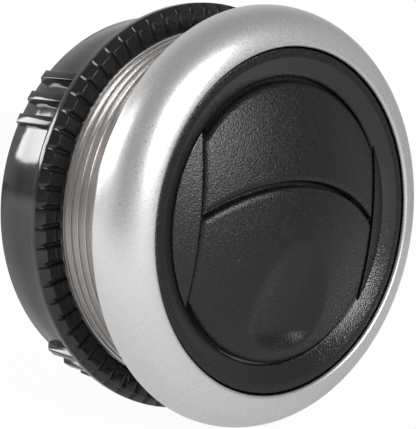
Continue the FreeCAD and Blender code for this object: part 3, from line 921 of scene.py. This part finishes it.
@dataclass
class Rotor:
    """The black ring with its dish, the cheeks, the barrel and the side walls."""

    outer: float = 37.15
    band: float = -14.1
    band_round: float = 0.5
    band_steps: int = 4
    dish_outer: float = 35.1
    dish_inner: float = 31.5
    dish_floor: float = -12.55
    lip_front: float = -12.35
    lip: float = 2.6
    flange_rear: float = -11.9
    bite: float = 0.5
    barrel: float = 35.84
    barrel_inner: float = 33.64
    barrel_rear: float = -1.0
    groove: float = 34.94
    groove_front: float = -9.35
    groove_rear: float = -8.05
    ring_edge: float = 0.12
    ring_edge_angle: float = 20.0
    wall_face: float = 26.2
    wall: float = 1.8
    wall_rear: float = -3.0
    wall_reach: float = 20.4
    wall_edge: float = 0.2
    wall_half_steps: int = 6
    cheek_wall: float = 2.2
    cheek_edge: float = 0.25
    cheek_grid: Grid = (12, 60)
    ledge_inner: float = 29.2
    ledge_outer: float = 33.9
    ledge_front: float = -10.88
    ledge_rear: float = -9.68
    ledge_half_angle: float = 52.0
    ledge_steps: int = 48
    steps: int = 240

    def build(self) -> None:
        """Spin the ring, add the ledge, both cheeks and both walls, join them."""
        parts = [turned("rotor_ring", self.profile(), self.steps), self.stop_ledge()]
        softened(parts[0], self.ring_edge, self.ring_edge_angle)
        for side in (-1, 1):
            parts += [self.cheek(side), self.side_wall(side)]
        rotor = joined("rotor_moulding", parts)
        dress(rotor, GRAINED)
        rotor.data.materials.append(WORN.material())
        for face in rotor.data.polygons:
            across = math.hypot(face.center.x, face.center.z) / MM
            if self.dish_inner < across < self.dish_outer and face.center.y < self.dish_floor * MM:
                face.material_index = 1
        settle(rotor, Body.ROTOR, "grained_black", "rotor")

    def profile(self) -> list[Point]:
        """The ring's closed section.

        Returns:
            Corners from the lip over the dish and band to the barrel, as (radius, depth).
        """
        lip_rear = DOME.edge_depth + self.lip
        corner = (self.outer - self.band_round, self.band + self.band_round)
        return [
            (DOME.edge_radius, self.lip_front),
            (self.dish_inner, self.dish_floor),
            (self.dish_outer, self.band),
            *arc(corner, self.band_round, 270, 360, self.band_steps),
            (self.outer, self.flange_rear),
            (self.barrel, self.flange_rear),
            (self.barrel, self.groove_front),
            (self.groove, self.groove_front),
            (self.groove, self.groove_rear),
            (self.barrel, self.groove_rear),
            (self.barrel, self.barrel_rear),
            (self.barrel_inner, self.barrel_rear),
            (self.barrel_inner, lip_rear + self.lip),
            (DOME.edge_radius, lip_rear),
        ]

    def stop_ledge(self) -> Piece:
        """Make the ledge inside the ring that the upper flap's top edge closes against.

        Returns:
            The ledge, turned so that its middle is at the top.
        """
        ledge = outlined("stop_ledge", section([
            (self.ledge_inner, self.ledge_rear),
            (self.ledge_inner, self.ledge_front),
            (self.ledge_outer, self.ledge_front),
            (self.ledge_outer, self.ledge_rear),
        ]))
        bpy.ops.mesh.edge_face_add()
        sweep = math.radians(self.ledge_half_angle * 2)
        bpy.ops.mesh.spin(steps=self.ledge_steps, angle=sweep, center=(0, 0, 0), axis=AXIS)
        weld()
        bpy.ops.object.mode_set(mode="OBJECT")
        middle = sum((v.co for v in ledge.data.vertices), Vector())
        turn = math.atan2(middle.z, middle.x) - math.pi / 2
        ledge.data.transform(Matrix.Rotation(turn, 4, "Y"))
        return ledge

    def cheek(self, side: int) -> Piece:
        """One domed cheek between the seam and the ring.

        Args:
            side: -1 for the left, +1 for the right.

        Returns:
            The cheek's plate.
        """
        edge = DOME.edge_radius + self.bite
        reach = math.sqrt(edge ** 2 - self.wall_face ** 2)

        def place(u: float, v: float) -> Vector:
            """The cheek's front at a share across from the seam and a share up.

            Args:
                u: -1 at the seam to 1 at the ring.
                v: -1 at the bottom to 1 at the top.

            Returns:
                The point in millimetres.
            """
            z = v * reach
            rim = math.sqrt(max(edge ** 2 - z * z, self.wall_face ** 2))
            x = self.wall_face + (rim - self.wall_face) * (u + 1) / 2
            return Vector((side * x, DOME.depth(x, z), z))

        plate = skin("cheek", place, self.cheek_grid, self.cheek_wall)
        softened(plate, self.cheek_edge, ROUND_ABOVE_ON_PLATE)
        return plate

    def side_wall(self, side: int) -> Piece:
        """The flat wall behind one cheek, which carries the pivots.

        Args:
            side: -1 for the left, +1 for the right.

        Returns:
            The wall's plate.
        """
        deep = self.cheek_wall / 2
        count = 2 * self.wall_half_steps + 1
        heights = [self.wall_reach * (k / self.wall_half_steps - 1) for k in range(count)]
        far = self.wall_face + self.wall
        front = [(DOME.depth(far, z) + deep, z) for z in heights]
        outline = [*front, (self.wall_rear, self.wall_reach), (self.wall_rear, -self.wall_reach)]
        start = self.wall_face if side > 0 else -far
        plate = slab("side_wall", outline, start, self.wall)
        softened(plate, self.wall_edge)
        return plate


@dataclass
class Flap:
    """One domed flap: its plate, pivot ears and crank ear."""

    name: str
    body: Body
    node: str
    pivot_rise: float
    web: Limits
    half_width: float = 25.8
    wall: float = 2.1
    edge: float = 0.35
    edge_segments: int = 3
    roll: float = 1.6
    roll_share: float = 0.6
    pivot: float = -11.0
    hub: float = 2.75
    hub_steps: int = 12
    ear: float = 2.4
    ear_edge: float = 0.15
    spread: float = 3.6
    crank: Point = (2.5, -10.0)
    crank_hub: float = 2.0
    crank_start: float = 21.1
    crank_width: float = 1.8
    grid: Grid = (110, 110)

    def low_edge(self, x: float) -> float:
        """The height of the lower edge at a place across."""
        raise NotImplementedError

    def high_edge(self, x: float) -> float:
        """The height of the upper edge at a place across."""
        raise NotImplementedError

    def sink(self, x: float, z: float) -> float:
        """How far the face lies behind the plain dome."""
        return 0.0

    def extras(self) -> list[Piece]:
        """Further forms of this flap's moulding."""
        return []

    def build(self) -> None:
        """Make the plate and its ears and join them."""
        plate = skin(self.name, self.face_point, self.grid, self.wall)
        softened(plate, self.edge, ROUND_ABOVE_ON_PLATE, self.edge_segments)
        parts = [plate, *self.extras()]
        for start in (-self.half_width, self.half_width - self.ear):
            root = (-self.spread, self.spread)
            parts.append(self.lug(start, self.ear, (0.0, 0.0), self.hub, root))
        parts.append(
            self.lug(self.crank_start, self.crank_width, self.crank, self.crank_hub, self.web)
        )
        flap = joined(f"{self.name}_moulding", parts)
        dress(flap, GRAINED)
        settle(flap, self.body, "grained_black", self.node)

    def face_point(self, u: float, v: float) -> Vector:
        """The flap's front at a share across and a share up, closer together at the edges.

        Args:
            u: -1 at the left to 1 at the right.
            v: -1 at the lower edge to 1 at the upper.

        Returns:
            The point in millimetres.
        """
        x = math.sin(u * math.pi / 2) * self.half_width
        low, high = self.low_edge(x), self.high_edge(x)
        z = low + (high - low) * (math.sin(v * math.pi / 2) + 1) / 2
        rim = min(z - low, high - z, self.half_width - abs(x))
        return Vector((x, DOME.depth(x, z) + self.sink(x, z) + self.rolled(rim), z))

    def rolled(self, rim: float) -> float:
        """How far the face falls away near its edge.

        Args:
            rim: The distance to the nearest edge.

        Returns:
            The fall in millimetres, 0 away from the edge.
        """
        if rim >= self.roll:
            return 0.0
        round_over = math.sqrt(max(self.roll ** 2 - (self.roll - rim) ** 2, 0.0))
        return (self.roll - round_over) * self.roll_share

    def lug(self, start: float, width: float, offset: Point, hub: float, root: Limits) -> Piece:
        """An ear behind the plate with a round end, all sizes in millimetres.

        Args:
            start: Its lower X face.
            width: Its thickness.
            offset: The round end's centre from the pivot, as depth and height.
            hub: The round end's radius.
            root: Heights of the web's two roots from the round end's centre.

        Returns:
            The ear.
        """
        middle = start + width / 2
        centre = (self.pivot + offset[0], self.pivot_rise + offset[1])
        low, high = centre[1] + root[0], centre[1] + root[1]
        deep = self.wall / 2
        outline = [
            (DOME.depth(middle, low) + deep, low),
            *arc(centre, hub, -90, 90, self.hub_steps),
            (DOME.depth(middle, high) + deep, high),
        ]
        ear = slab("ear", outline, start, width)
        softened(ear, self.ear_edge)
        return ear


@dataclass
class LowerFlap(Flap):
    """The lower flap with its thumb dimple."""

    name: str = "lower_flap_face"
    body: Body = Body.LOWER
    node: str = "lower_flap"
    pivot_rise: float = -9.0
    web: Limits = (-1.0, 6.0)
    split: float = 44.6
    peak: float = 8.25
    mouth: float = 30.6
    dimple_top: float = -3.6
    dimple_bottom: float = -28.0
    dimple_half: float = 11.6
    dimple_depth: float = 2.7
    widest: float = 0.60
    deepest: float = 0.80
    foot_end: float = 1.001
    foot_power: float = 3.0
    wall_power: float = 1.5
    floor_power: float = 1.2

    def low_edge(self, x: float) -> float:
        """The mouth's arc."""
        return -math.sqrt(self.mouth ** 2 - x * x)

    def high_edge(self, x: float) -> float:
        """The split arc."""
        return self.peak - self.split + math.sqrt(self.split ** 2 - x * x)

    def sink(self, x: float, z: float) -> float:
        """The dimple: a scoop that deepens downwards and ends in a short upward wall.

        Args:
            x: The place across.
            z: The height.

        Returns:
            How far the face lies behind the plain dome there.
        """
        share = (self.dimple_top - z) / (self.dimple_top - self.dimple_bottom)
        if not 0.0 < share < 1.0:
            return 0.0
        if share < self.widest:
            half = math.sqrt(1 - ((self.widest - share) / self.widest) ** 2)
        else:
            past = (share - self.widest) / (self.foot_end - self.widest)
            half = math.sqrt(1 - past ** self.foot_power)
        side = abs(x) / (half * self.dimple_half)
        if side >= 1:
            return 0.0
        wall = 0.5 + 0.5 * math.cos(math.pi * side ** self.wall_power)
        if share < self.deepest:
            floor = math.sin(math.pi / 2 * share / self.deepest) ** self.floor_power
        else:
            floor = 0.5 + 0.5 * math.cos(math.pi * (share - self.deepest) / (1 - self.deepest))
        return self.dimple_depth * floor * wall


@dataclass
class UpperFlap(Flap):
    """The upper flap, with the tongue that passes behind the lower one."""

    name: str = "upper_flap_face"
    body: Body = Body.UPPER
    node: str = "upper_flap"
    pivot_rise: float = 13.0
    web: Limits = (2.5, 9.0)
    split: float = 45.6
    peak: float = 9.25
    mouth: float = 30.1
    tongue_left: float = -24.2
    tongue_right: float = 17.8
    tongue_overlap: float = 2.4
    tongue_root: float = 0.9
    tongue_below: float = 2.5
    tongue_root_below: float = 1.9
    tongue_rise_at: float = 0.05
    tongue_wall: float = 1.0
    tongue_grid: Grid = (60, 9)

    def low_edge(self, x: float) -> float:
        """The split arc."""
        return self.peak - self.split + math.sqrt(self.split ** 2 - x * x)

    def high_edge(self, x: float) -> float:
        """The mouth's arc."""
        return math.sqrt(self.mouth ** 2 - x * x)

    def extras(self) -> list[Piece]:
        """The tongue that closes the split from behind."""
        return [skin("tongue", self.tongue_point, self.tongue_grid, self.tongue_wall)]

    def tongue_point(self, u: float, v: float) -> Vector:
        """The tongue's front, whose root steps forward into the plate.

        Args:
            u: -1 at the left to 1 at the right.
            v: -1 at the free edge to 1 at the root.

        Returns:
            The point in millimetres.
        """
        x = self.tongue_left + (self.tongue_right - self.tongue_left) * (u + 1) / 2
        z = self.low_edge(x) + (self.tongue_root if v > 0 else self.tongue_overlap) * v
        below = self.tongue_root_below if v > self.tongue_rise_at else self.tongue_below
        return Vector((x, DOME.depth(x, z, below), z))


@dataclass(frozen=True)
class Lobe:
    """A wide soft glow of the room: full within one angle of its heading, none past another."""

    heading: Triple
    full_within: float
    none_past: float
    strength: float

    def glow(self, tree: Tree, heading: Socket) -> Socket:
        """This lobe's share of the room's light.

        Args:
            tree: The world's node tree.
            heading: The socket of the direction looked in.

        Returns:
            The strength's socket.
        """
        facing = compared(tree, "DOT_PRODUCT", heading, Vector(self.heading).normalized())
        reach = (math.cos(math.radians(self.none_past)), math.cos(math.radians(self.full_within)))
        glow = span(tree, facing, 0.0, self.strength, reach)
        glow.node.interpolation_type = "SMOOTHSTEP"
        return glow


@dataclass(frozen=True)
class SoftBox:
    """A rectangular area lamp a metre from the vent, aimed at it.

    The azimuth is in degrees from the front towards +X, and the height in degrees above level.
    """

    name: str
    azimuth: float
    height: float
    size: Size
    radiance: float

    def build(self) -> None:
        """Make the lamp."""
        turn, rise = math.radians(self.azimuth), math.radians(self.height)
        place = Vector((
            math.sin(turn) * math.cos(rise), -math.cos(turn) * math.cos(rise), math.sin(rise)
        ))
        data = bpy.data.lights.new(self.name, "AREA")
        data.shape = "RECTANGLE"
        data.size, data.size_y = self.size
        data.energy = self.radiance * math.pi * self.size[0] * self.size[1]
        lamp = bpy.data.objects.new(self.name, data)
        bpy.context.scene.collection.objects.link(lamp)
        lamp.location = place
        lamp.rotation_mode = "QUATERNION"
        lamp.rotation_quaternion = (-place).to_track_quat("-Z", "Y")


@dataclass
class Studio:
    """The floor, the light and the camera."""

    floor_drop: float = 0.0465
    floor_size: float = 6.0
    floor_colour: Triple = (0.86, 0.86, 0.87)
    floor_roughness: float = 0.9
    floor_shine: float = 0.2
    floor_glow: float = 0.96
    floor_mirrored: float = 0.9
    mirrored_glow: Limits = (1.25, 0.56)
    mirrored_reach: Limits = (-0.115, 0.03)
    mirrored_heading: Triple = (1.0, 0.35, 0.0)
    dark_place: Triple = (-0.58, -0.25, 0.0)
    dark_reach: Limits = (0.20, 0.48)
    dark_share: float = 0.20
    far_reach: Limits = (0.45, 0.95)
    far_share: float = 0.35
    room_colour: Triple = (1.0, 0.99, 0.98)
    room_base: float = 0.24
    lobes: tuple[Lobe, ...] = (
        Lobe(heading=(0.2, 1.0, 0.32), full_within=10.0, none_past=64.0, strength=0.46),
        Lobe(heading=(1.0, -0.1, -0.2), full_within=10.0, none_past=80.0, strength=0.14),
        Lobe(heading=(-0.1, -1.0, 0.0), full_within=5.0, none_past=45.0, strength=0.45),
        Lobe(heading=(-1.0, 0.25, 0.05), full_within=5.0, none_past=34.0, strength=0.55),
    )
    boxes: tuple[SoftBox, ...] = (
        SoftBox("key", azimuth=-3.0, height=27.0, size=(0.56, 0.60), radiance=7.9),
        SoftBox("left", azimuth=-114.0, height=28.0, size=(0.34, 0.50), radiance=3.8),
        SoftBox("back_left", azimuth=-145.0, height=17.0, size=(0.42, 0.30), radiance=10.5),
    )
    lens: float = 117.5
    nearest: float = 0.01
    camera_place: Triple = (-0.2145, -0.2212, 0.0232)
    camera_right: Triple = (0.73684, -0.6696, 0.09325)
    camera_up: Triple = (-0.01666, 0.11996, 0.99265)
    camera_back: Triple = (-0.67586, -0.7330, 0.07718)

    def build(self) -> None:
        """Set up the whole studio."""
        bpy.context.scene.view_settings.view_transform = "Standard"
        self.make_camera()
        self.make_floor()
        self.make_world()
        for box in self.boxes:
            box.build()

    def make_camera(self) -> None:
        """The camera at the photograph's viewing angle."""
        data = bpy.data.cameras.new("camera")
        data.lens = self.lens
        data.clip_start = self.nearest
        camera = bpy.data.objects.new("camera", data)
        bpy.context.scene.collection.objects.link(camera)
        columns = Matrix((self.camera_right, self.camera_up, self.camera_back)).transposed()
        camera.matrix_world = Matrix.Translation(self.camera_place) @ columns.to_4x4()
        bpy.context.scene.camera = camera

    def make_floor(self) -> None:
        """A pale floor just under the vent."""
        deselect()
        bpy.ops.mesh.primitive_plane_add(size=self.floor_size, location=(0, 0, -self.floor_drop))
        floor = bpy.context.active_object
        floor.name = "studio_floor"
        floor.data.materials.append(self.floor_material())

    def floor_material(self) -> bpy.types.Material:
        """The floor's finish: almost white to the camera, bright in reflections, else diffuse.

        Returns:
            The material.
        """
        material = bpy.data.materials.new("studio_floor")
        material.use_nodes = True
        tree = material.node_tree
        shader = tree.nodes["Principled BSDF"]
        shader.inputs["Base Color"].default_value = (*self.floor_colour, 1.0)
        shader.inputs["Roughness"].default_value = self.floor_roughness
        shader.inputs["Specular IOR Level"].default_value = self.floor_shine
        glow = tree.nodes.new("ShaderNodeEmission")
        path = tree.nodes.new("ShaderNodeLightPath")
        seen = calculated(tree, "MULTIPLY", path.outputs["Is Camera Ray"], self.floor_glow)
        share = calculated(
            tree, "MULTIPLY_ADD", path.outputs["Is Glossy Ray"], self.floor_mirrored, seen
        )
        share.node.use_clamp = True
        tree.links.new(self.floor_strength(tree, path), glow.inputs["Strength"])
        shown(tree, "Material Output", share, shader.outputs[0], glow.outputs[0])
        return material

    def floor_strength(self, tree: Tree, path: Node) -> Socket:
        """The floor's glow: white to the camera, and uneven in reflections.

        A reflection sees it bright on the left, dim about one dark place and dim far away.

        Args:
            tree: The floor's node tree.
            path: Its light path node.

        Returns:
            The strength's socket.
        """
        across = compared(tree, "DOT_PRODUCT", coordinates(tree), self.mirrored_heading)
        mirrored = span(tree, across, *self.mirrored_glow, self.mirrored_reach)
        for place, low, high, reach in (
            (self.dark_place, self.dark_share, 1.0, self.dark_reach),
            ((0.0, 0.0, 0.0), 1.0, self.far_share, self.far_reach),
        ):
            away = compared(tree, "DISTANCE", coordinates(tree), place)
            mirrored = calculated(tree, "MULTIPLY", mirrored, span(tree, away, low, high, reach))
        pick = tree.nodes.new("ShaderNodeMix")
        tree.links.new(path.outputs["Is Camera Ray"], pick.inputs["Factor"])
        tree.links.new(mirrored, pick.inputs["A"])
        pick.inputs["B"].default_value = 1.0
        return pick.outputs["Result"]

    def make_world(self) -> None:
        """A soft grey room with wide lobes of light, which the camera sees as white."""
        world = bpy.data.worlds.new("studio_world")
        bpy.context.scene.world = world
        world.use_nodes = True
        tree = world.node_tree
        room = tree.nodes["Background"]
        room.inputs["Color"].default_value = (*self.room_colour, 1.0)
        tree.links.new(self.room_light(tree), room.inputs["Strength"])
        white = tree.nodes.new("ShaderNodeBackground")
        white.inputs["Color"].default_value = (1.0, 1.0, 1.0, 1.0)
        seen = tree.nodes.new("ShaderNodeLightPath").outputs["Is Camera Ray"]
        shown(tree, "World Output", seen, room.outputs[0], white.outputs[0])

    def room_light(self, tree: Tree) -> Socket:
        """The room's strength by direction: a base and its lobes.

        Args:
            tree: The world's node tree.

        Returns:
            The strength's socket.
        """
        heading = tree.nodes.new("ShaderNodeTexCoord").outputs["Generated"]
        total: Socket | float = self.room_base
        for lobe in self.lobes:
            total = calculated(tree, "ADD", total, lobe.glow(tree, heading))
        return total


def main() -> None:
    """Build everything in order."""
    logging.basicConfig(level=logging.INFO, format="%(name)s: %(message)s")
    dress_cad()
    for sub_assembly in (Bezel(), LockNut(), Rotor(), LowerFlap(), UpperFlap(), Studio()):
        sub_assembly.build()


if __name__ == "__main__":
    main()
